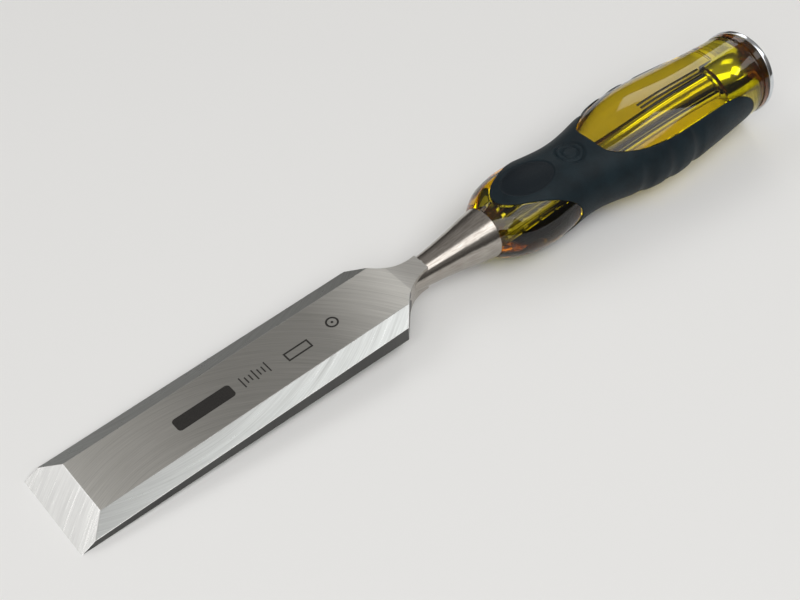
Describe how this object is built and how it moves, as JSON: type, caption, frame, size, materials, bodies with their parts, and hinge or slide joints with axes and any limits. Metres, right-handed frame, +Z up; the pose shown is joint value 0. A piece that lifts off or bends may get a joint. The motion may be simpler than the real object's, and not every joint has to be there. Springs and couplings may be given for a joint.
{
  "type": "bench chisel",
  "caption": "Bevel-edge bench chisel lying at rest: ground steel blade with shoulders and bolster, clear oval handle with a rubber overmould, and a steel strike cap.",
  "frame": {"origin": "centre of the bounding box in X and Y, on the bench: the cutting edge and the belly of the handle both touch z = 0", "axes": "+X runs along the tool from the cutting edge to the strike cap, projected on the bench; +Z up from the bench; the tool's own axis leans 2.83 degrees up towards +X"},
  "size_m": [0.2888, 0.0397, 0.0347],
  "materials": {
    "blade_steel": "ground",
    "clear_handle": "clear yellow acetate, polished",
    "grip_rubber": "satin, fine moulded texture",
    "cap_steel": "polished, bright plated"
  },
  "bodies": {
    "root": {"blade_and_tang": "blade_steel", "handle_core": "clear_handle", "rubber_grip": "grip_rubber", "strike_cap": "cap_steel"}
  },
  "joints": []
}
